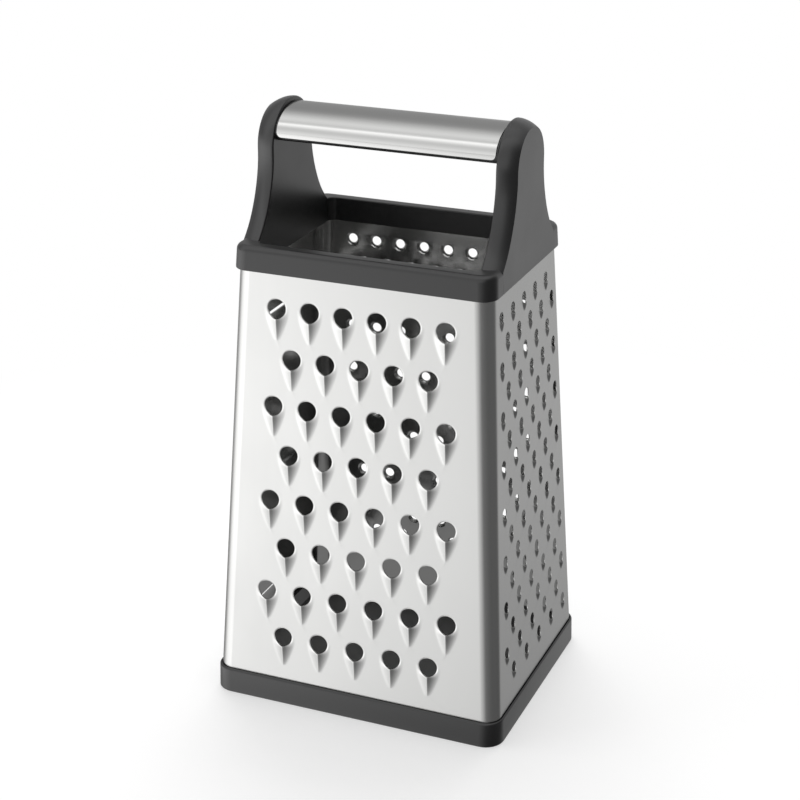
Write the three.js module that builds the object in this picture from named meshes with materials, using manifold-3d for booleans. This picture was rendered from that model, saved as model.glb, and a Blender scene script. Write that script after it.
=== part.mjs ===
// Four-sided box grater: perforated steel body, plastic base rim, moulded top frame and steel-covered grip.
// Millimetres, +Z up, +X to the right along the coarse face, which looks towards -Y.
// The origin is on the floor under the middle of the body.

import * as THREE from 'three';
import { mergeVertices } from 'three/addons/utils/BufferGeometryUtils.js';
import Module from 'manifold-3d';

const wasm = await Module();
wasm.setup();

// Clearances
const FIT_GAP = 0.3; // between a piece and the seat that holds it
const SEAM_GAP = 0.3; // between two plates along a corner

// Steel body, across its outside where it leaves the rim and where it enters the collar
const BODY_FOOT_WIDTH = 117.6;
const BODY_FOOT_DEPTH = 94.6;
const BODY_HEAD_WIDTH = 100.1;
const BODY_HEAD_DEPTH = 75.4;
const BODY_SHOWN_HEIGHT = 164;
const BODY_CORNER_RADIUS = 6.4;
const CORNER_STEPS = 2; // facets in the half corner that a plate carries
const SHEET = 0.6;
const SHEET_IN_RIM = 7;
const SHEET_IN_COLLAR = 5;

// Base rim
const RIM_HEIGHT = 10;
const RIM_LEDGE_SIDE = 0.95;
const RIM_LEDGE_FRONT = 1.45;
const RIM_DRAFT = THREE.MathUtils.degToRad(1.5);
const RIM_INNER_WALL = 1.6;
const RIM_INNER_HEIGHT = 8;
const RIM_EDGE_RADIUS = 0.5;

// Collar of the top frame
const COLLAR_HEIGHT = 9.3;
const COLLAR_OVERHANG_SIDE = 1.25;
const COLLAR_OVERHANG_FRONT = 1.05;
const COLLAR_CORNER_RADIUS = 6;
const COLLAR_DRAFT_SIDE = THREE.MathUtils.degToRad(3);
const COLLAR_DRAFT_FRONT = THREE.MathUtils.degToRad(4);
const COLLAR_EDGE_RADIUS = 2.2;
const COLLAR_WALL_FRONT = 6.3;
const MOUTH_CORNER_RADIUS = 3;

// Arms of the top frame
const ARM_HEIGHT = 56; // from the collar's lower edge to the crown
const ARM_THICKNESS = 7.6;
const ARM_HALF_DEPTH = 16.9;
const ARM_CROWN = 16.2;
const ARM_FOOT_SPREAD = 13.6;
const ARM_FLARE = 8.5; // length of the sweep from the foot to the waist
const ARM_CURVE_STEPS = 6;
const ARM_EDGE_RADIUS = 2;

// Grip between the arms
const GRIP_HALF_DEPTH = 15.2;
const GRIP_HALF_HEIGHT = 6.5;
const GRIP_CURVE_STEPS = 14;
const GRIP_BELOW_CROWN = 8.4; // from the crown of the arms down to the grip's middle
const COVER_SHEET = 0.6;
const COVER_SKIRT = 3.6; // the cover wraps this far below the grip's middle
const COVER_END_GAP = 1.2; // between the cover's end and the arm
const TENON_HALF_DEPTH = 10;
const TENON_HALF_HEIGHT = 3.4;
const TENON_LENGTH = 4;

// Coarse teeth on the front
const COARSE_ROWS = 8;
const COARSE_COLUMNS = 6;
const COARSE_PITCH = 14.25; // between neighbours half way up the shown steel
const COARSE_ROW_PITCH = 18.9;
const COARSE_RAISE = 2.4; // middle of the pattern above the middle of the shown steel
const COARSE_HOLE_RADIUS = 3.6;
const COARSE_LIP_HEIGHT = 0.8;
const COARSE_LIP_DROP = 3.8;
const COARSE_TAIL = 10.6;
const COARSE_STEPS = 6;

// Medium teeth on the right
const MEDIUM_ROWS = 16;
const MEDIUM_COLUMNS = 5;
const MEDIUM_MARGIN = 5.3875; // from the middle of the outermost hole to the fold, halfway up
const MEDIUM_STAGGER = 1 / 4; // of the pitch, to either side in turn
const MEDIUM_ROW_PITCH = 9.39;
const MEDIUM_RAISE = 2.6;
const MEDIUM_HOLE_RADIUS = 2.1;
const MEDIUM_LIP_HEIGHT = 0.5;
const MEDIUM_LIP_DROP = 2.3;
const MEDIUM_TAIL = 4.6;
const MEDIUM_STEPS = 4;

// Fine burrs at the back
const FINE_ROWS = 16;
const FINE_COLUMNS = 8;
const FINE_PITCH = 11;
const FINE_ROW_PITCH = 9.4;
const FINE_RAISE = 2.7;
const FINE_HOLE_RADIUS = 1.9;
const FINE_EDGE_RADIUS = 2.4; // the hole widens towards the sharp edge
const FINE_BURR_RADIUS = 3;
const FINE_BURR_HEIGHT = 0.9;
const FINE_SIDES = 6;

// Slicing slots on the left
const SLICER_SLOTS = 3;
const SLICER_PITCH = 62;
const SLICER_RAISE = -9.7;
const SLICER_LENGTH = 54;
const SLICER_GAP = 2.7;
const SLICER_LIP_HEIGHT = 0.6;
const SLICER_RAMP = 7.6;
const SLICER_END_TAPER = 5;

// Finishes
const STEEL = new THREE.MeshStandardMaterial({ color: 0xd9d9d6, roughness: 0.32, metalness: 1 });
const COVER_STEEL = new THREE.MeshStandardMaterial({ color: 0xdededb, roughness: 0.26, metalness: 1 });
const PLASTIC = new THREE.MeshStandardMaterial({ color: 0x2e2e2f, roughness: 0.42, metalness: 0 });
const CORE_PLASTIC = new THREE.MeshStandardMaterial({ color: 0x1f1f20, roughness: 0.5, metalness: 0 });

// Levels and slopes that follow from the sizes above
const COLLAR_BOTTOM = RIM_HEIGHT + BODY_SHOWN_HEIGHT;
const COLLAR_TOP = COLLAR_BOTTOM + COLLAR_HEIGHT;
const CROWN = COLLAR_BOTTOM + ARM_HEIGHT;
const BODY_MIDDLE = RIM_HEIGHT + BODY_SHOWN_HEIGHT / 2;
const SHEET_BOTTOM = RIM_HEIGHT - SHEET_IN_RIM;
const SHEET_TOP = COLLAR_BOTTOM + SHEET_IN_COLLAR;
const SIDE_SLOPE = (BODY_FOOT_WIDTH - BODY_HEAD_WIDTH) / 2 / BODY_SHOWN_HEIGHT;
const FRONT_SLOPE = (BODY_FOOT_DEPTH - BODY_HEAD_DEPTH) / 2 / BODY_SHOWN_HEIGHT;
const CUT_THROUGH = 1; // how far cutting shapes run past the faces that they open

const bodyHalfWidth = (z) => BODY_FOOT_WIDTH / 2 - SIDE_SLOPE * (z - RIM_HEIGHT);
const bodyHalfDepth = (z) => BODY_FOOT_DEPTH / 2 - FRONT_SLOPE * (z - RIM_HEIGHT);

// Turns a closed geometry into a solid that can be joined and cut.
function solid(geometry) {
  const bare = geometry.clone();
  bare.deleteAttribute('normal');
  bare.deleteAttribute('uv');
  const merged = mergeVertices(bare);
  return new wasm.Manifold(new wasm.Mesh({
    numProp: 3,
    vertProperties: new Float32Array(merged.attributes.position.array),
    triVerts: new Uint32Array(merged.index.array),
  }));
}

// Turns a solid back into a geometry.
function geometryOf(body) {
  const mesh = body.getMesh();
  const geometry = new THREE.BufferGeometry();
  geometry.setAttribute('position', new THREE.BufferAttribute(mesh.vertProperties, 3));
  geometry.setIndex(new THREE.BufferAttribute(mesh.triVerts, 1));
  return geometry;
}

function pieceOf(name, body, material) {
  const geometry = geometryOf(body);
  geometry.computeVertexNormals();
  const mesh = new THREE.Mesh(geometry, material);
  mesh.name = name;
  return mesh;
}

// Joins closed outlines with the same number of points, from the lowest level to the highest.
function loft(levels) {
  const count = levels[0].outline.length;
  const positions = levels.flatMap(({ outline, z }) => outline.flatMap((point) => [point.x, point.y, z]));
  const faces = [];
  for (let level = 0; level + 1 < levels.length; level += 1) {
    for (let i = 0; i < count; i += 1) {
      const here = level * count + i;
      const next = level * count + (i + 1) % count;
      faces.push(here, next, next + count, here, next + count, here + count);
    }
  }
  const last = (levels.length - 1) * count;
  for (const [a, b, c] of THREE.ShapeUtils.triangulateShape(levels[0].outline, [])) {
    faces.push(c, b, a);
  }
  for (const [a, b, c] of THREE.ShapeUtils.triangulateShape(levels.at(-1).outline, [])) {
    faces.push(last + a, last + b, last + c);
  }
  const geometry = new THREE.BufferGeometry();
  geometry.setAttribute('position', new THREE.Float32BufferAttribute(positions, 3));
  geometry.setIndex(faces);
  return geometry;
}

// Rectangle with round corners, counter-clockwise.
function roundedRectangle(halfX, halfY, radius, arcSteps = 2) {
  const x = halfX - radius;
  const y = halfY - radius;
  const shape = new THREE.Shape();
  shape.absarc(x, y, radius, 0, Math.PI / 2);
  shape.absarc(-x, y, radius, Math.PI / 2, Math.PI);
  shape.absarc(-x, -y, radius, Math.PI, 1.5 * Math.PI);
  shape.absarc(x, -y, radius, 1.5 * Math.PI, 2 * Math.PI);
  return shape.getPoints(arcSteps);
}

// Block that follows the taper of the body, set off from the steel's outer face.
function bodyBlock(offset, bottom, top) {
  return solid(loft([bottom, top].map((z) => ({
    outline: roundedRectangle(
      bodyHalfWidth(z) + offset, bodyHalfDepth(z) + offset, BODY_CORNER_RADIUS + offset),
    z,
  }))));
}

// Slot for the edge of the sheet, with the fit gap on both faces.
function sheetGroove(bottom, top) {
  return bodyBlock(FIT_GAP, bottom, top).subtract(
    bodyBlock(-SHEET - FIT_GAP, bottom - CUT_THROUGH, top + CUT_THROUGH));
}

// The four sides of the body: the turn from the front, the outer half size and the half size across.
const FRONT = { turn: 0, out: bodyHalfDepth, across: bodyHalfWidth, tilt: Math.atan(FRONT_SLOPE) };
const RIGHT = { turn: Math.PI / 2, out: bodyHalfWidth, across: bodyHalfDepth, tilt: Math.atan(SIDE_SLOPE) };
const BACK = { ...FRONT, turn: Math.PI };
const LEFT = { ...RIGHT, turn: 1.5 * Math.PI };

// Height up the slope of a side, from the middle of the shown steel.
const upSlope = (side, z) => (z - BODY_MIDDLE) / Math.cos(side.tilt);

// Thickness of the sheet square to a side, which is measured level elsewhere.
const sheetDepth = (side) => SHEET * Math.cos(side.tilt);

// Point on a side that faces -Y, from its place across, up the slope and outwards.
function pointOnSide(side, { x, y, z: out = 0 }) {
  const sine = Math.sin(side.tilt);
  const cosine = Math.cos(side.tilt);
  return new THREE.Vector3(
    x, y * sine - out * cosine - side.out(BODY_MIDDLE), y * cosine + out * sine + BODY_MIDDLE);
}

// Triangles between two lines with the same number of points.
function strip(first, second) {
  const triangles = [];
  for (let i = 0; i + 1 < first.length; i += 1) {
    triangles.push([first[i], second[i], second[i + 1]]);
    triangles.push([first[i], second[i + 1], first[i + 1]]);
  }
  return triangles.filter(([a, b, c]) => !(a.equals(b) || b.equals(c) || c.equals(a)));
}

// Copy of flat points at one distance from the outer face.
const atDepth = (points, out) => points.map(({ x, y }) => new THREE.Vector3(x, y, out));

// Place of a point across and up the slope.
const flat = ({ x, y }) => new THREE.Vector2(x, y);

// Points without repeats, in reverse order.
const reversedOnce = (points) => points.filter((point, i) => i === 0 || point !== points[i - 1]).reverse();

// Hole whose lower edge is pushed out into a hood with a raised lip.
// The window runs over the top of the hole from its right end to its left end, and so do the
// inner and outer edge of the lip and the lines where the hood runs back into the sheet.
function hoodPunch({ window, lipInner, lipOuter, footInner, footOuter }, depth) {
  const outerEdge = atDepth(window, 0);
  const innerEdge = atDepth(window, -depth);
  const outerFoot = atDepth(footOuter, 0);
  const innerFoot = atDepth(footInner, -depth);
  return {
    outerOutline: [...window, flat(lipOuter.at(-1)), ...reversedOnce(footOuter), flat(lipOuter[0])],
    innerOutline: [...window, ...reversedOnce(footInner)],
    triangles: [
      ...strip(innerEdge, outerEdge),
      ...strip(lipOuter, lipInner),
      ...strip(outerFoot, lipOuter),
      ...strip(lipInner, innerFoot),
      [lipInner[0], innerEdge[0], innerFoot[0]],
      [lipInner.at(-1), innerFoot.at(-1), innerEdge.at(-1)],
    ],
  };
}

// Grating tooth: a round hole over a beak that narrows from its lip to a tail.
function toothPunch({ radius, lipHeight, lipDrop, tail, steps }, depth) {
  const arc = new THREE.ArcCurve(0, 0, 1, 0, Math.PI, false).getPoints(steps);
  const lip = (wall) => arc.map(({ x, y }) => new THREE.Vector3(
    (radius + wall) * x, -wall / 2 - lipDrop * y, (lipHeight + wall) * y));
  const foot = (wall) => Array(arc.length).fill(new THREE.Vector2(0, -tail * (1 + wall / radius)));
  return hoodPunch({
    window: arc.map(({ x, y }) => new THREE.Vector2(radius * x, radius * y)),
    lipInner: lip(0),
    lipOuter: lip(SHEET),
    footInner: foot(0),
    footOuter: foot(SHEET),
  }, depth);
}

// Slicing slot: a long window over a ramp that rises to a straight cutting lip.
function slotPunch(depth) {
  const half = SLICER_LENGTH / 2;
  const straight = half - SLICER_END_TAPER;
  const lip = (wall) => [
    new THREE.Vector3(half + wall, -wall / 2, 0),
    new THREE.Vector3(straight, -wall / 2, SLICER_LIP_HEIGHT + wall),
    new THREE.Vector3(-straight, -wall / 2, SLICER_LIP_HEIGHT + wall),
    new THREE.Vector3(-half - wall, -wall / 2, 0),
  ];
  const foot = (wall) => {
    const right = new THREE.Vector2(straight, -SLICER_RAMP - wall);
    const left = new THREE.Vector2(-straight, -SLICER_RAMP - wall);
    return [right, right, left, left];
  };
  const window = [
    new THREE.Vector2(half, 0),
    new THREE.Vector2(half, SLICER_GAP),
    new THREE.Vector2(-half, SLICER_GAP),
    new THREE.Vector2(-half, 0),
  ];
  return hoodPunch({
    window,
    lipInner: lip(0),
    lipOuter: lip(SHEET),
    footInner: foot(0),
    footOuter: foot(SHEET),
  }, depth);
}

// Fine burr: a round hole with a sharp edge raised all round it.
function burrPunch(depth) {
  const ring = (radius) => new THREE.ArcCurve(0, 0, radius, 0, 2 * Math.PI, false).getPoints(FINE_SIDES);
  const foot = ring(FINE_BURR_RADIUS);
  const hole = ring(FINE_HOLE_RADIUS);
  foot[FINE_SIDES] = foot[0];
  hole[FINE_SIDES] = hole[0];
  const edge = atDepth(ring(FINE_EDGE_RADIUS), FINE_BURR_HEIGHT);
  edge[FINE_SIDES] = edge[0];
  return {
    outerOutline: foot.slice(0, FINE_SIDES),
    innerOutline: hole.slice(0, FINE_SIDES),
    triangles: [...strip(edge, atDepth(foot, 0)), ...strip(atDepth(hole, -depth), edge)],
  };
}

// Level section of a plate that faces -Y: outer line from left to right, inner line back again.
function plateSection(side, z) {
  const x = side.across(z) - BODY_CORNER_RADIUS;
  const y = BODY_CORNER_RADIUS - side.out(z);
  const seam = Math.PI / 4 - SEAM_GAP / 2 / BODY_CORNER_RADIUS;
  const down = -Math.PI / 2;
  const corner = (centre, radius, from, to) => (
    new THREE.ArcCurve(centre, y, radius, down + from, down + to, to < from).getPoints(CORNER_STEPS));
  return [
    ...corner(-x, BODY_CORNER_RADIUS, -seam, 0),
    ...corner(x, BODY_CORNER_RADIUS, 0, seam),
    ...corner(x, BODY_CORNER_RADIUS - SHEET, seam, 0),
    ...corner(-x, BODY_CORNER_RADIUS - SHEET, 0, -seam),
  ];
}

// Flat face of a plate with its punched holes, as triangles of points across and up the slope.
// A face behind the outer one is cut off at the same levels.
function punchedFace(side, outlines, behind) {
  const corner = (sign, z) => new THREE.Vector2(
    sign * (side.across(z) - BODY_CORNER_RADIUS), upSlope(side, z) + behind * Math.tan(side.tilt));
  const contour = [
    corner(-1, SHEET_BOTTOM), corner(1, SHEET_BOTTOM), corner(1, SHEET_TOP), corner(-1, SHEET_TOP)];
  const points = [contour, ...outlines].flat();
  return THREE.ShapeUtils.triangulateShape(contour, outlines).map((face) => face.map((i) => points[i]));
}

// Plate of one side: a sheet with half of each corner folded on, and copies of one punch.
function punchedPlate(name, side, punch, places) {
  const depth = sheetDepth(side);
  const moved = (points, place) => points.map((point) => point.clone().add(place));
  const outer = punchedFace(side, places.map((place) => moved(punch.outerOutline, place)), 0);
  const inner = punchedFace(side, places.map((place) => moved(punch.innerOutline, place)), depth);
  const local = [
    ...outer,
    ...inner.map(([a, b, c]) => atDepth([c, b, a], -depth)),
    ...places.flatMap((place) => punch.triangles.map((triangle) => (
      moved(triangle, new THREE.Vector3(place.x, place.y, 0))))),
  ];
  const triangles = local.map((triangle) => triangle.map((point) => pointOnSide(side, point)));

  const [bottom, top] = [SHEET_BOTTOM, SHEET_TOP].map((z) => (
    plateSection(side, z).map(({ x, y }) => new THREE.Vector3(x, y, z))));
  const count = bottom.length;
  const flats = [CORNER_STEPS, count - 1 - CORNER_STEPS - 1];
  for (let i = 0; i < count; i += 1) {
    const next = (i + 1) % count;
    if (!flats.includes(i)) {
      triangles.push([bottom[i], bottom[next], top[next]], [bottom[i], top[next], top[i]]);
    }
  }
  for (const [a, b, c] of THREE.ShapeUtils.triangulateShape(bottom, [])) {
    triangles.push([bottom[c], bottom[b], bottom[a]], [top[a], top[b], top[c]]);
  }
  const geometry = mergeVertices(new THREE.BufferGeometry().setFromPoints(triangles.flat()));
  geometry.computeVertexNormals();
  const plate = new THREE.Mesh(geometry, STEEL);
  plate.name = name;
  plate.rotation.z = side.turn;
  return plate;
}

// Staggered places on a side, with a pitch across that follows the taper of the body.
function staggeredPlaces(side, { rows, columns, evenColumns, pitch, rowPitch, raise, stagger }) {
  const places = [];
  for (let row = 0; row < rows; row += 1) {
    const z = BODY_MIDDLE + ((rows - 1) / 2 - row) * rowPitch + raise;
    const step = pitch * side.across(z) / side.across(BODY_MIDDLE);
    const even = row % 2 === 1;
    const count = even ? evenColumns : columns;
    const offset = even ? stagger : -stagger;
    for (let column = 0; column < count; column += 1) {
      places.push(new THREE.Vector2((column - (count - 1) / 2 + offset) * step, upSlope(side, z)));
    }
  }
  return places;
}

function coarsePlate() {
  const tooth = {
    radius: COARSE_HOLE_RADIUS,
    lipHeight: COARSE_LIP_HEIGHT,
    lipDrop: COARSE_LIP_DROP,
    tail: COARSE_TAIL,
    steps: COARSE_STEPS,
  };
  const places = staggeredPlaces(FRONT, {
    rows: COARSE_ROWS,
    columns: COARSE_COLUMNS,
    evenColumns: COARSE_COLUMNS - 1,
    pitch: COARSE_PITCH,
    rowPitch: COARSE_ROW_PITCH,
    raise: COARSE_RAISE,
    stagger: 0,
  });
  return punchedPlate('coarse_plate', FRONT, toothPunch(tooth, sheetDepth(FRONT)), places);
}

// The pitch fills the width between the folds, so the pattern follows the body.
const MEDIUM_PITCH = (RIGHT.across(BODY_MIDDLE) - BODY_CORNER_RADIUS - MEDIUM_MARGIN)
  / ((MEDIUM_COLUMNS - 1) / 2 + MEDIUM_STAGGER);

// The medium rows all hold the same number of teeth and lean to either side in turn.
function mediumPlate() {
  const tooth = {
    radius: MEDIUM_HOLE_RADIUS,
    lipHeight: MEDIUM_LIP_HEIGHT,
    lipDrop: MEDIUM_LIP_DROP,
    tail: MEDIUM_TAIL,
    steps: MEDIUM_STEPS,
  };
  const places = staggeredPlaces(RIGHT, {
    rows: MEDIUM_ROWS,
    columns: MEDIUM_COLUMNS,
    evenColumns: MEDIUM_COLUMNS,
    pitch: MEDIUM_PITCH,
    rowPitch: MEDIUM_ROW_PITCH,
    raise: MEDIUM_RAISE,
    stagger: MEDIUM_STAGGER,
  });
  return punchedPlate('medium_plate', RIGHT, toothPunch(tooth, sheetDepth(RIGHT)), places);
}

function finePlate() {
  const places = staggeredPlaces(BACK, {
    rows: FINE_ROWS,
    columns: FINE_COLUMNS,
    evenColumns: FINE_COLUMNS - 1,
    pitch: FINE_PITCH,
    rowPitch: FINE_ROW_PITCH,
    raise: FINE_RAISE,
    stagger: 0,
  });
  return punchedPlate('fine_plate', BACK, burrPunch(sheetDepth(BACK)), places);
}

function slicerPlate() {
  const places = staggeredPlaces(LEFT, {
    rows: SLICER_SLOTS,
    columns: 1,
    evenColumns: 1,
    pitch: SLICER_LENGTH,
    rowPitch: SLICER_PITCH,
    raise: SLICER_RAISE,
    stagger: 0,
  });
  return punchedPlate('slicer_plate', LEFT, slotPunch(sheetDepth(LEFT)), places);
}

// Levels of a rounded upper edge: how far in and how far below the top each step lies.
function edgeSteps(radius, count = 3) {
  return Array.from({ length: count + 1 }, (unused, i) => {
    const angle = (i / count) * Math.PI / 2;
    return { inset: radius * (1 - Math.cos(angle)), below: radius * (1 - Math.sin(angle)) };
  });
}

// Rim that the body stands in: a drafted ring with a groove for the edge of the sheet.
function baseRim() {
  const halfX = bodyHalfWidth(RIM_HEIGHT) + RIM_LEDGE_SIDE;
  const halfY = bodyHalfDepth(RIM_HEIGHT) + RIM_LEDGE_FRONT;
  const radius = BODY_CORNER_RADIUS + RIM_LEDGE_SIDE;
  const flare = RIM_HEIGHT * Math.tan(RIM_DRAFT);
  const edge = edgeSteps(RIM_EDGE_RADIUS).map(({ inset, below }) => ({
    outline: roundedRectangle(halfX - inset, halfY - inset, radius - inset),
    z: RIM_HEIGHT - below,
  }));
  const foot = { outline: roundedRectangle(halfX + flare, halfY + flare, radius + flare), z: 0 };
  const inside = bodyBlock(-SHEET - FIT_GAP - RIM_INNER_WALL, -CUT_THROUGH, RIM_HEIGHT + CUT_THROUGH);
  const aboveInnerWall = bodyBlock(-SHEET, RIM_INNER_HEIGHT, RIM_HEIGHT + CUT_THROUGH);
  const body = solid(loft([foot, ...edge]))
    .subtract(inside)
    .subtract(aboveInnerWall)
    .subtract(sheetGroove(SHEET_BOTTOM - FIT_GAP, RIM_HEIGHT + CUT_THROUGH));
  return pieceOf('base_rim', body, PLASTIC);
}

// Outer half sizes of the collar, which lean in with height.
const collarHalfWidth = (rise) => (
  bodyHalfWidth(COLLAR_BOTTOM) + COLLAR_OVERHANG_SIDE - rise * Math.tan(COLLAR_DRAFT_SIDE));
const collarHalfDepth = (rise) => (
  bodyHalfDepth(COLLAR_BOTTOM) + COLLAR_OVERHANG_FRONT - rise * Math.tan(COLLAR_DRAFT_FRONT));

// The arms stand flush with the collar's sides, and their inner faces run down into its mouth.
const ARM_OUTER = collarHalfWidth(COLLAR_HEIGHT - COLLAR_EDGE_RADIUS);
const ARM_INNER = ARM_OUTER - ARM_THICKNESS;
const ARM_ROOT = COLLAR_BOTTOM + COLLAR_HEIGHT / 2;
const GRIP_LEVEL = CROWN - GRIP_BELOW_CROWN;
const COVER_END = ARM_INNER - COVER_END_GAP;

// Sections drawn as depth and height, swept along X.
const ALONG_X = new THREE.Matrix4().makeBasis(
  new THREE.Vector3(0, 1, 0), new THREE.Vector3(0, 0, 1), new THREE.Vector3(1, 0, 0));

// Side view of an arm: a flared foot, a waist and a round crown, drawn in by the inset.
function armOutline(inset) {
  const half = ARM_HALF_DEPTH - inset;
  const foot = half + ARM_FOOT_SPREAD;
  const shoulder = CROWN - ARM_CROWN;
  const shape = new THREE.Shape();
  shape.moveTo(-foot, ARM_ROOT);
  shape.lineTo(foot, ARM_ROOT);
  shape.lineTo(foot, COLLAR_TOP);
  shape.bezierCurveTo(
    foot - ARM_FLARE, COLLAR_TOP + ARM_FLARE, half, COLLAR_TOP + 2 * ARM_FLARE, half, shoulder);
  shape.absellipse(0, shoulder, half, ARM_CROWN - inset, 0, Math.PI, false);
  shape.bezierCurveTo(
    -half, COLLAR_TOP + 2 * ARM_FLARE, ARM_FLARE - foot, COLLAR_TOP + ARM_FLARE, -foot, COLLAR_TOP);
  return shape.getPoints(ARM_CURVE_STEPS);
}

// One arm, with the edges of its outer face rounded.
function arm(turn) {
  const rounded = edgeSteps(ARM_EDGE_RADIUS).map(({ inset, below }) => ({
    outline: armOutline(inset),
    z: ARM_OUTER - below,
  }));
  const geometry = loft([{ outline: armOutline(0), z: ARM_INNER }, ...rounded]);
  geometry.applyMatrix4(ALONG_X);
  geometry.rotateZ(turn);
  return solid(geometry);
}

// Bar with an elliptical section, lying along X on the grip's axis.
function gripBar(halfDepth, halfHeight, from, to) {
  const section = new THREE.Shape();
  section.absellipse(0, 0, halfDepth, halfHeight, 0, 2 * Math.PI);
  const bar = new THREE.ExtrudeGeometry(section, {
    depth: to - from, bevelEnabled: false, curveSegments: GRIP_CURVE_STEPS,
  });
  bar.translate(0, 0, from);
  bar.applyMatrix4(ALONG_X);
  bar.translate(0, 0, GRIP_LEVEL);
  return solid(bar);
}

// Everything below a level, as wide and deep as the grip needs.
function belowLevel(level) {
  const box = new THREE.BoxGeometry(2 * BODY_FOOT_WIDTH, 2 * BODY_FOOT_DEPTH, GRIP_LEVEL);
  box.translate(0, 0, level - GRIP_LEVEL / 2);
  return solid(box);
}

// Collar and arms in one moulding, open through the middle, with sockets for the grip.
function topFrame() {
  const collarLevel = (rise, inset) => ({
    outline: roundedRectangle(
      collarHalfWidth(rise) - inset, collarHalfDepth(rise) - inset, COLLAR_CORNER_RADIUS - inset),
    z: COLLAR_BOTTOM + rise,
  });
  const rounded = edgeSteps(COLLAR_EDGE_RADIUS).map(({ inset, below }) => (
    collarLevel(COLLAR_HEIGHT - below, inset)));
  const mouthOutline = roundedRectangle(
    ARM_INNER, collarHalfDepth(0) - COLLAR_WALL_FRONT, MOUTH_CORNER_RADIUS);
  const mouth = loft([COLLAR_BOTTOM - CUT_THROUGH, COLLAR_TOP + CUT_THROUGH].map((z) => (
    { outline: mouthOutline, z })));
  const socketReach = ARM_INNER + TENON_LENGTH + FIT_GAP;
  const body = solid(loft([collarLevel(0, 0), ...rounded]))
    .add(arm(0))
    .add(arm(Math.PI))
    .subtract(solid(mouth))
    .subtract(sheetGroove(COLLAR_BOTTOM - CUT_THROUGH, SHEET_TOP + FIT_GAP))
    .subtract(gripBar(
      TENON_HALF_DEPTH + FIT_GAP, TENON_HALF_HEIGHT + FIT_GAP, -socketReach, socketReach));
  return pieceOf('top_frame', body, PLASTIC);
}

// Plastic bar of the grip: a tenon in each arm, an end disc beside it and a keel below the cover.
function gripCore() {
  const inset = COVER_SHEET + FIT_GAP;
  const tenonReach = ARM_INNER + TENON_LENGTH;
  const discIn = COVER_END + FIT_GAP;
  const discOut = ARM_INNER - FIT_GAP;
  const keel = gripBar(GRIP_HALF_DEPTH, GRIP_HALF_HEIGHT, -discOut, discOut)
    .intersect(belowLevel(GRIP_LEVEL - COVER_SKIRT - FIT_GAP));
  const body = gripBar(GRIP_HALF_DEPTH - inset, GRIP_HALF_HEIGHT - inset, -discOut, discOut)
    .add(keel)
    .add(gripBar(GRIP_HALF_DEPTH, GRIP_HALF_HEIGHT, discIn, discOut))
    .add(gripBar(GRIP_HALF_DEPTH, GRIP_HALF_HEIGHT, -discOut, -discIn))
    .add(gripBar(TENON_HALF_DEPTH, TENON_HALF_HEIGHT, -tenonReach, tenonReach));
  return pieceOf('grip_core', body, CORE_PLASTIC);
}

// Steel cover sprung over the grip, with its edges turned in under the widest part.
function gripCover() {
  const body = gripBar(GRIP_HALF_DEPTH, GRIP_HALF_HEIGHT, -COVER_END, COVER_END)
    .subtract(gripBar(GRIP_HALF_DEPTH - COVER_SHEET, GRIP_HALF_HEIGHT - COVER_SHEET, -ARM_OUTER, ARM_OUTER))
    .subtract(belowLevel(GRIP_LEVEL - COVER_SKIRT));
  return pieceOf('grip_cover', body, COVER_STEEL);
}

const grater = new THREE.Group();
grater.add(coarsePlate(), mediumPlate(), finePlate(), slicerPlate());
grater.add(baseRim(), topFrame(), gripCore(), gripCover());

export default grater;
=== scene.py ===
import math

import bmesh
import bpy
from mathutils import Matrix, Vector


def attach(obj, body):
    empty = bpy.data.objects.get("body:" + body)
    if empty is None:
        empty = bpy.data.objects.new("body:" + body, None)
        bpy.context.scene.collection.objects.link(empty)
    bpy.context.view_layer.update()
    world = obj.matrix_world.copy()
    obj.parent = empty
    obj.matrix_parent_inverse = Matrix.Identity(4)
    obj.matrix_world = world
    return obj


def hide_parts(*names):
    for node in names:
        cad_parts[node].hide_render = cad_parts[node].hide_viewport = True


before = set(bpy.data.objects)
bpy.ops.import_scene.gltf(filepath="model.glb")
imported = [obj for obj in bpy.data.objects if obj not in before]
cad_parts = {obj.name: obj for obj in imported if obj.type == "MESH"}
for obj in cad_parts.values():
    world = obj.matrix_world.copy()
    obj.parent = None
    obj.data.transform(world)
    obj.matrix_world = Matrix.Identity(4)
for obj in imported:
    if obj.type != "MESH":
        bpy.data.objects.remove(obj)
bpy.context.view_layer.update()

# Sizes in millimetres; a finished mesh is scaled to metres.
MM = 0.001

# Steel body, across its outside at the rim and at the collar
FOOT_HALF_WIDTH, FOOT_HALF_DEPTH = 58.8, 47.3
HEAD_HALF_WIDTH, HEAD_HALF_DEPTH = 50.05, 37.7
RIM_TOP = 10.0
BODY_HEAD = 174.0
CORNER_RADIUS = 6.4
CORNER_FOLD = math.radians(44.91)  # each plate takes half of a corner, up to a fine seam
CORNER_STEPS = 10
SEAM_WELD = 1e-5  # vertices nearer than this are one
SHEET = 0.6
SHEET_FOOT, SHEET_HEAD = 3.0, 179.0
CUT_EDGE_STEPS = 3

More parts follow.
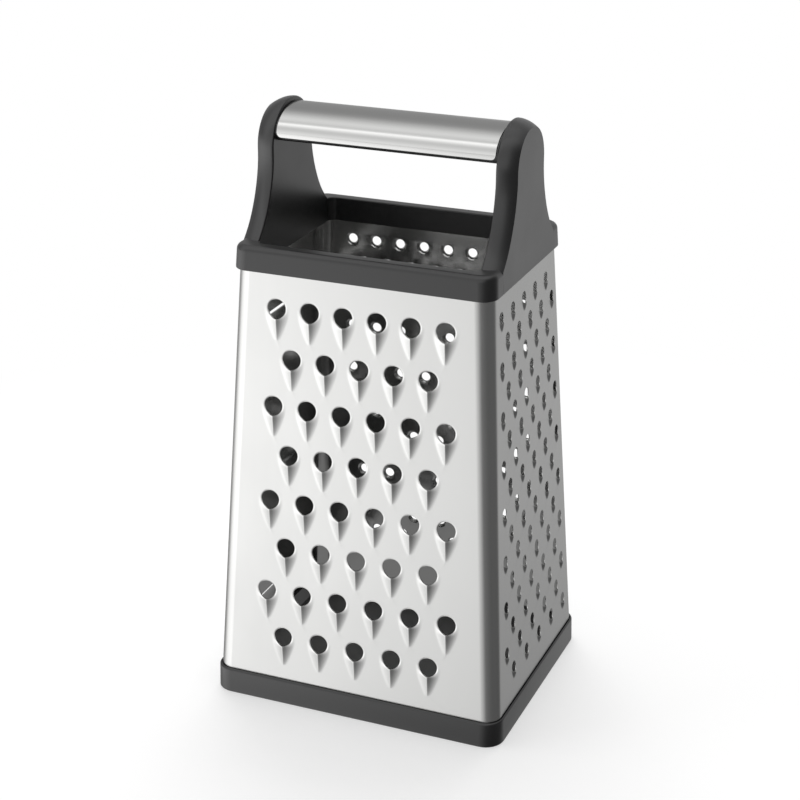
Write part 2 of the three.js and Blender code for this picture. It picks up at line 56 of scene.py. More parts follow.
# Teeth, burrs and slots; drop, tail and ramp reach down from the middle of the hole
COARSE_TOOTH = dict(radius=3.6, drop=3.75, tail=12.4, height=1.25, margin=2.2, ridge=0.15,
                    fall=0.95, flank=1.8, taper=0.72, dip=0.15, segments=40, rings=10)
MEDIUM_TOOTH = dict(radius=2.1, drop=2.3, tail=5.6, height=0.95, margin=0.4, ridge=0.1,
                    fall=0.6, flank=1.1, taper=0.4, dip=0.0, segments=24, rings=6)
FINE_BURR = dict(radius=2.3, foot=3.2, height=0.9, segments=16, rings=3)
SLICING_SLOT = dict(length=54.0, gap=2.7, height=1.2, ramp=8.2, taper=6.0, segments=72, rings=7)
DIP_WIDTH = 0.5  # metal round a hole that the punch draws inwards
TAIL_POINT = 1e-4  # keeps a beak's width above nothing at its very end
SPOKE_CROWDING = 1.5  # power that gathers the spokes of a tooth at its ridge
BURR_CURVE = 1.6  # power of a burr's hollow side
SLOT_CORNER = 0.35  # power that squares a round outline into a slot
SLOT_LIP, SLOT_MARGIN = 0.02, 1.0  # the window's reach below its level, and the metal above it

# Patterns, in rows from the top; a nudge moves a whole pattern across and up its plate
COARSE_ROWS = dict(rows=8, counts=(6, 5), pitch=14.25, row_pitch=18.9, lift=2.4, nudge=(0.42, 0.1))
MEDIUM_ROWS = dict(rows=16, counts=(5, 5), pitch=13.65, row_pitch=9.39, lift=2.6, stagger=0.25)
FINE_ROWS = dict(rows=16, counts=(8, 7), pitch=11.0, row_pitch=9.4, lift=2.7, nudge=(0.45, -0.35))
SLOT_PITCH, SLOT_LIFT = 62.0, -9.7

# Rounding of the cut edges, and the sheet that shows in the small medium holes
COARSE_EDGE, MEDIUM_EDGE, FINE_EDGE, SLICER_EDGE = 0.29, 0.05, 0.08, 0.1
MEDIUM_SHEET = 0.3

# Base rim
RIM_LEDGE_SIDE, RIM_LEDGE_FRONT = 0.95, 1.45
RIM_FLARE = 0.26
RIM_EDGE_ROUND, RIM_FOOT_ROUND, RIM_ROUND_STEPS = 0.6, 0.5, 4
RIM_INNER_TOP = 8.0
RIM_INNER_WALL = 1.6
RIM_SLIT = 0.3  # open joint between the rim and the outside of the steel
GROOVE_GAP = 0.12
GROOVE_END_GAP = 0.3  # between the bottom of a groove and the edge of the sheet

# Collar and arms
COLLAR_FOOT = 173.65
COLLAR_HEIGHT = 9.3
COLLAR_OVERHANG_SIDE, COLLAR_OVERHANG_FRONT = 1.25, 1.05
COLLAR_CORNER = 6.0
COLLAR_DRAFT_SIDE, COLLAR_DRAFT_FRONT = math.radians(3), math.radians(4)
COLLAR_EDGE_ROUND, COLLAR_EDGE_STEPS = 2.2, 6
COLLAR_FOOT_ROUND, COLLAR_FOOT_STEPS = 0.4, 3
COLLAR_WALL_FRONT = 6.3
MOUTH_CORNER = 3.0
MOUTH_EDGE_ROUND, MOUTH_EDGE_STEPS = 0.5, 4
ARM_CROWN_LEVEL = 230.0
ARM_THICKNESS = 7.6
ARM_HALF_DEPTH = 16.9
ARM_CROWN_ROUND, ARM_CROWN_STEPS = 16.2, 20
ARM_FOOT_SPREAD = 13.6
ARM_WAIST_SWEEP, ARM_WAIST_STEPS = 15.0, 10
ARM_SIDE_ROUND, ARM_SIDE_STEPS = 2.6, 9
ARM_INNER_ROUND, ARM_INNER_STEPS = 0.7, 3
ARM_ROOT_RISE = 0.6  # the arm's blank starts this far up in the collar
ARM_INSIDE_PLAY, ARM_OUTSIDE_PLAY = 0.02, 0.03  # keep the blanks' faces out of one plane
ARM_SLACK = 0.1  # for picking vertices by their level or side
FRAME_WELD = 1e-7  # metres

# Grip
GRIP_LEVEL = 221.6
GRIP_HALF_DEPTH = 15.2
GRIP_WIDEST, GRIP_TOP = -2.2, 6.7  # levels of the widest part and the top, from the grip level
GRIP_STEPS = 96
BELLY_HALF_DEPTH, BELLY_LEVEL, BELLY_DROP = 13.8, -3.9, 2.5
COVER_SHEET = 0.6
COVER_SIDE, COVER_TURN_IN = 6.0, 2.0  # the drawn side, which the skirt cuts short
COVER_SKIRT = 3.35
COVER_END_GAP = 0.6
COVER_CORNER = 2.0
COVER_EDGE = 0.15
CORE_PLAY = 0.1
DISC_INSET = 0.35  # the core's end discs stay this much under the cover's outside
DISC_COVER_GAP, DISC_ARM_GAP = 0.1, 0.05
TENON_HALF_DEPTH, TENON_HALF_HEIGHT, TENON_LENGTH = 10.0, 3.4, 4.0

# Angles past which an edge is shaded sharp, or rounded on the cover
RIM_SHARP, FRAME_SHARP, CORE_SHARP = math.radians(35), math.radians(32), math.radians(35)
COVER_SHARP = math.radians(50)

SIDE_SLOPE = (FOOT_HALF_WIDTH - HEAD_HALF_WIDTH) / (BODY_HEAD - RIM_TOP)
FRONT_SLOPE = (FOOT_HALF_DEPTH - HEAD_HALF_DEPTH) / (BODY_HEAD - RIM_TOP)
BODY_MIDDLE = (RIM_TOP + BODY_HEAD) / 2
COLLAR_TOP = COLLAR_FOOT + COLLAR_HEIGHT


def body_half_width(z):
    return FOOT_HALF_WIDTH - SIDE_SLOPE * (z - RIM_TOP)


def body_half_depth(z):
    return FOOT_HALF_DEPTH - FRONT_SLOPE * (z - RIM_TOP)


def collar_half_width(rise):
    return HEAD_HALF_WIDTH + COLLAR_OVERHANG_SIDE - rise * math.tan(COLLAR_DRAFT_SIDE)


def collar_half_depth(rise):
    return HEAD_HALF_DEPTH + COLLAR_OVERHANG_FRONT - rise * math.tan(COLLAR_DRAFT_FRONT)


ARM_OUTER = collar_half_width(COLLAR_HEIGHT - COLLAR_EDGE_ROUND)
ARM_INNER = ARM_OUTER - ARM_THICKNESS
COVER_END = ARM_INNER - COVER_END_GAP


# Shader helpers

def add_node(tree, kind, inputs=None, **settings):
    """A node with its settings; an input is a plain value or another node's output."""
    made = tree.nodes.new(kind)
    for name, value in settings.items():
        setattr(made, name, value)
    for name, value in (inputs or {}).items():
        if isinstance(value, bpy.types.NodeSocket):
            tree.links.new(value, made.inputs[name])
        else:
            made.inputs[name].default_value = value
    return made


def worked(tree, operation, *values):
    """Result of one Math node."""
    return add_node(tree, "ShaderNodeMath", dict(enumerate(values)), operation=operation).outputs[0]


def along(tree, vector, direction):
    """Share of a vector that runs in a direction."""
    return add_node(tree, "ShaderNodeVectorMath", {0: vector, 1: direction},
                    operation="DOT_PRODUCT").outputs["Value"]


def noise(tree, vector, scale, detail, roughness):
    """Grey noise over a place."""
    return add_node(tree, "ShaderNodeTexNoise", {
        "Vector": vector, "Scale": scale, "Detail": detail, "Roughness": roughness}).outputs["Fac"]


def fitted(tree, value, span, result=(0.0, 1.0)):
    """A value taken from one span to another and held at its ends."""
    return add_node(tree, "ShaderNodeMapRange", {
        "Value": value, "From Min": span[0], "From Max": span[1],
        "To Min": result[0], "To Max": result[1]}).outputs["Result"]


def blended(tree, share, first, second, blend="MIX"):
    """Two colours mixed; the sockets are counted because a Mix node has several of each name."""
    return add_node(tree, "ShaderNodeMix", {0: share, 6: first, 7: second},
                    data_type="RGBA", blend_type=blend).outputs[2]


def new_group(name, inputs, outputs):
    """An empty shader group with named sockets; inputs give their kind and first value."""
    group = bpy.data.node_groups.new(name, "ShaderNodeTree")
    for label, (kind, value) in inputs.items():
        socket = group.interface.new_socket(label, in_out="INPUT", socket_type=kind)
        if value is not None:
            socket.default_value = value
    for label, kind in outputs.items():
        group.interface.new_socket(label, in_out="OUTPUT", socket_type=kind)
    return group, group.nodes.new("NodeGroupInput").outputs, group.nodes.new("NodeGroupOutput").inputs


# Finishes of the steel and the plastic

NOISE_SPAN = (0.3, 0.7)  # between these lies most of a noise
SMEAR_SPAN = (0.9, 1.12)  # share of the steel's roughness, from cloud to cloud
SHADE_SPAN, GLOSS_SPAN = (0.92, 1.08), (-0.03, 0.05)  # the same for the plastic's tone and roughness
LINE_GLOSS = 0.06  # how far a brushed line changes the roughness
FACING_UP = (0.5, 1.0)  # upright share of a normal on which dust settles
SPECK_SPAN = (0.62, 0.74)
DUST_COLOUR = (0.42, 0.41, 0.39, 1.0)
PLASTIC_IOR = 1.42  # low, under a full coat, so that only faces seen at a slant shine
BRUSHED_DEPTH, GRAIN_DEPTH = 0.00002, 0.00006  # metres
GRAIN_STRENGTH = 0.12


def brushing_group():
    """Fine parallel lines from a belt: a tone, a roughness and a height that vary along them."""
    group, given, result = new_group("brushing", {
        "Vector": ("NodeSocketVector", None),
        "Stretch": ("NodeSocketVector", (1.0, 1.0, 1.0)),
        "Roughness": ("NodeSocketFloat", 0.3),
        "Depth": ("NodeSocketFloat", 0.05),
    }, {"Tone": "NodeSocketFloat", "Roughness": "NodeSocketFloat", "Height": "NodeSocketFloat"})
    lines = add_node(group, "ShaderNodeVectorMath", {
        0: given["Vector"], 1: given["Stretch"]}, operation="MULTIPLY").outputs["Vector"]
    fine = noise(group, lines, scale=2600.0, detail=3.0, roughness=0.6)
    broad = noise(group, lines, scale=420.0, detail=2.0, roughness=0.5)
    cloud = noise(group, given["Vector"], scale=38.0, detail=2.0, roughness=0.5)
    mixed = worked(group, "ADD", fine, broad)
    centred = worked(group, "SUBTRACT", mixed, 1.0)
    tone = worked(group, "MULTIPLY_ADD", centred, given["Depth"], 1.0)
    smear = fitted(group, cloud, NOISE_SPAN, SMEAR_SPAN)
    rough = worked(group, "MULTIPLY", smear, given["Roughness"])
    group.links.new(tone, result["Tone"])
    group.links.new(worked(group, "MULTIPLY_ADD", centred, LINE_GLOSS, rough), result["Roughness"])
    group.links.new(mixed, result["Height"])
    return group


def moulding_group():
    """Satin moulded plastic: a spark-eroded grain, cloudy gloss and a little dust facing up."""
    group, given, result = new_group("moulded_satin", {
        "Vector": ("NodeSocketVector", None),
        "Colour": ("NodeSocketColor", (0.03, 0.03, 0.03, 1.0)),
        "Roughness": ("NodeSocketFloat", 0.4),
        "Dust": ("NodeSocketFloat", 0.02),
    }, {"Colour": "NodeSocketColor", "Roughness": "NodeSocketFloat", "Height": "NodeSocketFloat"})
    grain = noise(group, given["Vector"], scale=2400.0, detail=2.0, roughness=0.6)
    cloud = noise(group, given["Vector"], scale=46.0, detail=3.0, roughness=0.55)
    specks = noise(group, given["Vector"], scale=900.0, detail=1.0, roughness=0.4)
    normal = add_node(group, "ShaderNodeNewGeometry").outputs["Normal"]
    up = add_node(group, "ShaderNodeSeparateXYZ", {"Vector": normal}).outputs["Z"]
    dust = worked(group, "MULTIPLY", fitted(group, up, FACING_UP), fitted(group, specks, SPECK_SPAN))
    dust = worked(group, "MULTIPLY", dust, given["Dust"])
    shade = fitted(group, cloud, NOISE_SPAN, SHADE_SPAN)
    tinted = blended(group, 1.0, given["Colour"], shade, "MULTIPLY")
    gloss = fitted(group, cloud, NOISE_SPAN, GLOSS_SPAN)
    group.links.new(blended(group, dust, tinted, DUST_COLOUR), result["Colour"])
    group.links.new(worked(group, "ADD", gloss, given["Roughness"]), result["Roughness"])
    group.links.new(grain, result["Height"])
    return group


def new_material(name):
    """A material with its node tree, the place on the piece and the main shader."""
    material = bpy.data.materials.new(name)
    material.use_nodes = True
    tree = material.node_tree
    place = add_node(tree, "ShaderNodeTexCoord").outputs["Object"]
    return material, tree, place, tree.nodes["Principled BSDF"]


def add_bump(tree, shader, height, strength, distance):
    bump = add_node(tree, "ShaderNodeBump", {
        "Height": height, "Strength": strength, "Distance": distance})
    tree.links.new(bump.outputs["Normal"], shader.inputs["Normal"])


def steel(name, brushing, colour, roughness, stretch, depth, bump):
    """Stainless sheet with belt lines along the axis that the stretch leaves long."""
    material, tree, place, shader = new_material(name)
    lines = add_node(tree, "ShaderNodeGroup", {
        "Vector": place, "Stretch": stretch, "Roughness": roughness, "Depth": depth},
        node_tree=brushing).outputs
    tinted = blended(tree, 1.0, colour, lines["Tone"], "MULTIPLY")
    tree.links.new(tinted, shader.inputs["Base Color"])
    tree.links.new(lines["Roughness"], shader.inputs["Roughness"])
    shader.inputs["Metallic"].default_value = 1.0
    add_bump(tree, shader, lines["Height"], bump, BRUSHED_DEPTH)
    return material


def plastic(name, moulding, colour, roughness, dust):
    """Dark satin plastic under a coat as rough as itself."""
    material, tree, place, shader = new_material(name)
    satin = add_node(tree, "ShaderNodeGroup", {
        "Vector": place, "Colour": colour, "Roughness": roughness, "Dust": dust},
        node_tree=moulding).outputs
    tree.links.new(satin["Colour"], shader.inputs["Base Color"])
    tree.links.new(satin["Roughness"], shader.inputs["Roughness"])
    shader.inputs["IOR"].default_value = PLASTIC_IOR
    shader.inputs["Coat Weight"].default_value = 1.0
    shader.inputs["Coat IOR"].default_value = PLASTIC_IOR
    shader.inputs["Coat Roughness"].default_value = roughness
    add_bump(tree, shader, satin["Height"], GRAIN_STRENGTH, GRAIN_DEPTH)
    return material


brushing = brushing_group()
moulding = moulding_group()
STEEL_COLOUR = (0.62, 0.62, 0.612, 1.0)
PLATE_STEEL = steel("plate_steel", brushing, STEEL_COLOUR, roughness=0.22,
                    stretch=(1.0, 1.0, 0.03), depth=0.02, bump=0.03)
COVER_STEEL = steel("cover_steel", brushing, STEEL_COLOUR, roughness=0.15,
                    stretch=(0.02, 1.0, 1.0), depth=0.05, bump=0.05)
FRAME_PLASTIC = plastic("frame_plastic", moulding, (0.011, 0.011, 0.0114, 1.0), roughness=0.33, dust=0.03)
CORE_PLASTIC = plastic("core_plastic", moulding, (0.012, 0.012, 0.0125, 1.0), roughness=0.38, dust=0.02)


# Modelling helpers; every piece is drawn in millimetres

def new_object(bm, name, material):
    """Makes a bmesh an object of the scene, at the origin."""
    mesh = bpy.data.meshes.new(name)
    bm.to_mesh(mesh)
    bm.free()
    mesh.materials.append(material)
    made = bpy.data.objects.new(name, mesh)
    bpy.context.scene.collection.objects.link(made)
    return made


def piece_from(bm, name, material, node=None, sharp=None):
    """Scales a finished bmesh to metres, makes it an object and ties it to its CAD node."""
    bm.transform(Matrix.Scale(MM, 4))
    piece = new_object(bm, name, material)
    for face in piece.data.polygons:
        face.use_smooth = True
    if sharp is not None:
        piece.data.set_sharp_from_angle(angle=sharp)
    if node:
        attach(piece, "root")
        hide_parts(node)
    return piece


def keep_flats(piece):
    """Lets the wide flat faces set the shading where they run into narrow rounds."""
    flats = piece.modifiers.new("flat_faces", "WEIGHTED_NORMAL")
    flats.keep_sharp = True


def thicken(piece, thickness, edge_round):
    """Gives a drawn sheet its thickness on the inside, and rounds its cut edges."""
    wall = piece.modifiers.new("sheet", "SOLIDIFY")
    wall.thickness = thickness * MM
    wall.offset = -1.0
    rounding = piece.modifiers.new("cut_edges", "BEVEL")
    rounding.width = edge_round * MM
    rounding.segments = CUT_EDGE_STEPS
    return rounding


def face_up(bm):
    """Turns a sheet so that most of it faces up."""
    bmesh.ops.recalc_face_normals(bm, faces=bm.faces)
    if sum(face.normal.z * face.calc_area() for face in bm.faces) < 0:
        bmesh.ops.reverse_faces(bm, faces=bm.faces)


def everything(bm):
    return bm.verts[:] + bm.edges[:] + bm.faces[:]


def verts_in(geometry):
    return [part for part in geometry if isinstance(part, bmesh.types.BMVert)]


def edges_at(verts):
    return list({edge for vertex in verts for edge in vertex.link_edges})


def rounded_loop(bm, half_x, half_y, radius, z, steps=8):
    """Edges of a level rectangle with round corners, in a bmesh that has no faces yet."""
    corners = bmesh.ops.create_grid(bm, x_segments=1, y_segments=1, size=1.0)["verts"]
    bmesh.ops.scale(bm, vec=(half_x, half_y, 1.0), verts=corners)
    bmesh.ops.translate(bm, vec=(0.0, 0.0, z), verts=corners)
    bmesh.ops.bevel(bm, geom=corners, offset=radius, offset_type="OFFSET", segments=steps,
                    profile=0.5, affect="VERTICES", material=-1)
    face = next(iter(bm.faces))
    edges = list(face.edges)
    bmesh.ops.delete(bm, geom=[face], context="FACES_ONLY")
    return edges


def ring_of_levels(levels):
    """Closed ring whose section runs through the levels and back to the first."""
    bm = bmesh.new()
    loops = [rounded_loop(bm, *level) for level in levels]
    for here, after in zip(loops, loops[1:] + loops[:1]):
        bmesh.ops.bridge_loops(bm, edges=here + after)
    bmesh.ops.recalc_face_normals(bm, faces=bm.faces)
    return bm


def quarter_round(radius, steps):
    """Steps over a rounded upper edge: how far in and how far below the top."""
    turns = [math.pi / 2 * i / steps for i in range(steps + 1)]
    return [(radius * (1 - math.cos(a)), radius * (1 - math.sin(a))) for a in turns]


# Punched sheets

class Side:
    """One side of the body: its turn from the front, and the sizes that follow its taper."""

    def __init__(self, turn, out, across, slope):
        self.turn, self.out, self.across = turn, out, across
        self.tilt = math.atan(slope)

    def up_slope(self, z):
        """Way up the sloping sheet from the body's middle to a level."""
        return (z - BODY_MIDDLE) / math.cos(self.tilt)

    def placed(self):
        """From across, up the slope and outwards to the part's own axes."""
        sine, cosine = math.sin(self.tilt), math.cos(self.tilt)
        face = Matrix(((1, 0, 0, 0), (0, sine, -cosine, -self.out(BODY_MIDDLE)),
                       (0, cosine, sine, BODY_MIDDLE), (0, 0, 0, 1)))
        return Matrix.Rotation(self.turn, 4, "Z") @ face


FRONT = Side(0.0, body_half_depth, body_half_width, FRONT_SLOPE)
RIGHT = Side(math.pi / 2, body_half_width, body_half_depth, SIDE_SLOPE)
BACK = Side(math.pi, body_half_depth, body_half_width, FRONT_SLOPE)
LEFT = Side(-math.pi / 2, body_half_width, body_half_depth, SIDE_SLOPE)


def staggered_places(side, rows, counts, pitch, row_pitch, lift, stagger=0.0, nudge=(0.0, 0.0)):
    """Places in rows from the top, with a pitch that narrows as the body does."""
    places = []
    for row in range(rows):
        z = BODY_MIDDLE + ((rows - 1) / 2 - row) * row_pitch + lift
        step = pitch * side.across(z) / side.across(BODY_MIDDLE)
        count = counts[row % 2]
        aside = stagger if row % 2 else -stagger
        for column in range(count):
            across = (column - (count - 1) / 2 + aside) * step
            places.append((across + nudge[0], side.up_slope(z) + nudge[1]))
    return places


def punch_mesh(hole, skirt, rise, segments, rings):
    """One punched hole with the metal round it, drawn out of a flat ring.

    hole and skirt give the inner and outer outline for a turn; rise gives the height of the
    outer face over the flat sheet. Seams mark the outer outline, and bevel weights the cut edge.
    """
    ring_in, ring_out, slack = 1.0, 2.0, 0.01
    bm = bmesh.new()
    inner = bmesh.ops.create_circle(bm, segments=segments, radius=ring_in)["verts"]
    outer = bmesh.ops.create_circle(bm, segments=segments, radius=ring_out)["verts"]
    bmesh.ops.bridge_loops(bm, edges=edges_at(inner + outer))
    spokes = [e for e in bm.edges if abs(e.verts[0].co.length - e.verts[1].co.length) > ring_in / 2]
    bmesh.ops.subdivide_edgering(bm, edges=spokes, cuts=rings - 1, interp_mode="LINEAR")
    cut = bm.edges.layers.float.new("bevel_weight_edge")
    for edge in bm.edges:
        reach = [vertex.co.length for vertex in edge.verts]
        edge.seam = min(reach) > ring_out - slack
        edge[cut] = 1.0 if max(reach) < ring_in + slack else 0.0
    for vertex in bm.verts:
        turn = math.atan2(vertex.co.y, vertex.co.x)
        share = vertex.co.length - ring_in
        spot = hole(turn).lerp(skirt(turn), share)
        lifted = 0.0 if share > 1 - slack else rise(spot.x, spot.y)
        vertex.co = Vector((spot.x, spot.y, lifted))
    face_up(bm)
    mesh = bpy.data.meshes.new("punch")
    bm.to_mesh(mesh)
    bm.free()
    return mesh


def punched_sheet(name, side, punch, places, node, edge_round, sheet=SHEET):
    """Sheet of one side with its punched holes and half of each corner folded on."""
    bm = bmesh.new()
    for x, y in places:
        count = len(bm.verts)
        bm.from_mesh(punch)
        bm.verts.ensure_lookup_table()
        bmesh.ops.translate(bm, vec=(x, y, 0.0), verts=bm.verts[count:])
    rims = [edge for edge in bm.edges if edge.seam]
    for edge in rims:
        edge.seam = False
    low, high = side.up_slope(SHEET_FOOT), side.up_slope(SHEET_HEAD)
    fold_low = side.across(SHEET_FOOT) - CORNER_RADIUS
    fold_high = side.across(SHEET_HEAD) - CORNER_RADIUS
    corners = [bm.verts.new((x, y, 0.0)) for x, y in (
        (-fold_low, low), (fold_low, low), (fold_high, high), (-fold_high, high))]
    border = [bm.edges.new((corners[i], corners[(i + 1) % 4])) for i in range(4)]
    bmesh.ops.triangle_fill(bm, use_beauty=True, edges=rims + border, normal=(0.0, 0.0, 1.0))
    for edge, sign in ((border[1], 1.0), (border[3], -1.0)):
        foot, head = sorted((v.co.copy() for v in edge.verts), key=lambda co: co.y)
        bmesh.ops.spin(bm, geom=[edge, *edge.verts], cent=foot - Vector((0.0, 0.0, CORNER_RADIUS)),
                       axis=head - foot, angle=sign * CORNER_FOLD, steps=CORNER_STEPS,
                       use_merge=False, use_duplicate=False)
    bmesh.ops.remove_doubles(bm, verts=bm.verts, dist=SEAM_WELD)
    face_up(bm)
    cut = bm.edges.layers.float["bevel_weight_edge"]
    for edge in bm.edges:
        edge.smooth = not edge.is_boundary or edge[cut] > 0
    bm.transform(side.placed())
    plate = piece_from(bm, name, PLATE_STEEL, node)
    thicken(plate, sheet, edge_round).limit_method = "WEIGHT"
    keep_flats(plate)


def smooth_step(value):
    share = min(1.0, max(0.0, value))
    return share * share * (3 - 2 * share)


def tooth_mesh(radius, drop, tail, height, margin, ridge, fall, flank, taper, dip, segments, rings):
    """Grating tooth: a round hole over a beak with a sharp ridge that runs out into a tail.

    fall, flank and taper are the powers of the ridge's slope, of the beak's sides and of its
    narrowing; ridge rounds the crest, and dip draws the edge of the hole in.
    """
    wide = radius + margin

    def crowded(turn):
        """Draws the spokes of the lower half together towards the ridge."""
        if turn >= 0:
            return turn
        off = (turn + math.pi / 2) / (math.pi / 2)
        return -math.pi / 2 + math.copysign(abs(off) ** SPOKE_CROWDING, off) * math.pi / 2

    def hole(turn):
        turn = crowded(turn)
        return Vector((radius * math.cos(turn), (radius if turn > 0 else drop) * math.sin(turn)))

    def skirt(turn):
        turn = crowded(turn)
        return Vector((wide * math.cos(turn), (wide if turn > 0 else tail) * math.sin(turn)))

    def rise(x, y):
        edge = radius * (math.hypot(x / radius, y / (radius if y > 0 else drop)) - 1)
        drawn = dip * max(0.0, 1 - edge / DIP_WIDTH) ** 2
        if y >= 0:
            return -drawn
        past = max(0.0, (tail + y) / (tail - drop))
        down = smooth_step(-y / drop) if -y < drop else past ** fall
        reach = wide * max(TAIL_POINT, 1 + y / tail) ** taper
        off = min(1.0, (math.hypot(x, ridge) - ridge) / reach)
        return height * down * (1 - off) ** flank - drawn * (1 - down)

    return punch_mesh(hole, skirt, rise, segments, rings)


def burr_mesh(radius, foot, height, segments, rings):
    """Fine burr: a round hole with its edge drawn up all round."""
    def hole(turn):
        return Vector((radius * math.cos(turn), radius * math.sin(turn)))

    def skirt(turn):
        return Vector((foot * math.cos(turn), foot * math.sin(turn)))

    def rise(x, y):
        share = (foot - math.hypot(x, y)) / (foot - radius)
        return height * share ** BURR_CURVE

    return punch_mesh(hole, skirt, rise, segments, rings)


def slot_mesh(length, gap, height, ramp, taper, segments, rings):
    """Slicing slot: a long window over a ramp that rises to a straight lip."""
    half, foot_half = length / 2, (length + taper) / 2

    def boxed(turn, reach, top, bottom):
        cosine, sine = math.cos(turn), math.sin(turn)
        x = reach * math.copysign(abs(cosine) ** SLOT_CORNER, cosine)
        y = math.copysign(abs(sine) ** SLOT_CORNER, sine)
        return Vector((x, y * (top if y > 0 else bottom)))

    def hole(turn):
        return boxed(turn, half, gap, SLOT_LIP)

    def skirt(turn):
        return boxed(turn, foot_half, gap + SLOT_MARGIN, ramp)

    def rise(x, y):
        if y > 0:
            return 0.0
        ends = smooth_step((foot_half - abs(x)) / taper)
        return height * ends * smooth_step((ramp + y) / ramp)

    return punch_mesh(hole, skirt, rise, segments, rings)


slot_places = [(0.0, LEFT.up_slope(BODY_MIDDLE + row * SLOT_PITCH + SLOT_LIFT)) for row in (1, 0, -1)]
punched_sheet("coarse_sheet", FRONT, tooth_mesh(**COARSE_TOOTH), staggered_places(FRONT, **COARSE_ROWS),
              "coarse_plate", COARSE_EDGE)
punched_sheet("medium_sheet", RIGHT, tooth_mesh(**MEDIUM_TOOTH), staggered_places(RIGHT, **MEDIUM_ROWS),
              "medium_plate", MEDIUM_EDGE, MEDIUM_SHEET)
punched_sheet("fine_sheet", BACK, burr_mesh(**FINE_BURR), staggered_places(BACK, **FINE_ROWS),
              "fine_plate", FINE_EDGE)
punched_sheet("slicer_sheet", LEFT, slot_mesh(**SLICING_SLOT), slot_places,
              "slicer_plate", SLICER_EDGE)


# Base rim

def beside_steel(offset, z, level):
    """A loop set off from the outside of the steel, as wide as that is at a level."""
    return (body_half_width(level) + offset, body_half_depth(level) + offset,
            CORNER_RADIUS + offset, z)


def base_rim():
    """Ring with a flared foot, and a groove in which the sheets stand."""
    half_x = body_half_width(RIM_TOP) + RIM_LEDGE_SIDE
    half_y = body_half_depth(RIM_TOP) + RIM_LEDGE_FRONT
    radius = CORNER_RADIUS + RIM_LEDGE_SIDE

    def outside(inset, z):
        return (half_x - inset, half_y - inset, radius - inset, z)

    foot = [outside(inset - RIM_FLARE, below)
            for inset, below in reversed(quarter_round(RIM_FOOT_ROUND, RIM_ROUND_STEPS))]
    top = [outside(inset, RIM_TOP - below)
           for inset, below in quarter_round(RIM_EDGE_ROUND, RIM_ROUND_STEPS)]
    groove_foot = SHEET_FOOT - GROOVE_END_GAP
    behind = -SHEET - GROOVE_GAP
    groove = [beside_steel(RIM_SLIT, RIM_TOP, RIM_TOP), beside_steel(RIM_SLIT, groove_foot, SHEET_FOOT),
              beside_steel(behind, groove_foot, SHEET_FOOT),
              beside_steel(behind, RIM_INNER_TOP, RIM_INNER_TOP)]
    inner = behind - RIM_INNER_WALL
    inside = [beside_steel(inner, RIM_INNER_TOP, RIM_INNER_TOP), beside_steel(inner, 0.0, 0.0)]
    piece_from(ring_of_levels(foot + top + groove + inside), "base_rim_moulding", FRAME_PLASTIC,
               "base_rim", RIM_SHARP)


base_rim()


# Top frame

def collar_ring():
    """Drafted ring with a rounded upper edge, an open mouth and a groove for the sheets."""
    mouth_x, mouth_y = ARM_INNER, collar_half_depth(0.0) - COLLAR_WALL_FRONT

    def outside(rise, inset):
        return (collar_half_width(rise) - inset, collar_half_depth(rise) - inset,
                COLLAR_CORNER - inset, COLLAR_FOOT + rise)

    def mouth(grow, z):
        return (mouth_x + grow, mouth_y + grow, MOUTH_CORNER + grow, z)

    foot = [outside(below, inset)
            for inset, below in reversed(quarter_round(COLLAR_FOOT_ROUND, COLLAR_FOOT_STEPS))]
    top = [outside(COLLAR_HEIGHT - below, inset)
           for inset, below in quarter_round(COLLAR_EDGE_ROUND, COLLAR_EDGE_STEPS)]
    lip = [mouth(inset, COLLAR_TOP - below)
           for inset, below in reversed(quarter_round(MOUTH_EDGE_ROUND, MOUTH_EDGE_STEPS))]
    head = SHEET_HEAD + GROOVE_END_GAP
    behind = -SHEET - GROOVE_GAP
    groove = [mouth(0.0, COLLAR_FOOT), beside_steel(behind, COLLAR_FOOT, COLLAR_FOOT),
              beside_steel(behind, head, SHEET_HEAD), beside_steel(GROOVE_GAP, head, SHEET_HEAD),
              beside_steel(GROOVE_GAP, COLLAR_FOOT, COLLAR_FOOT)]
    return ring_of_levels(foot + top + lip + groove)


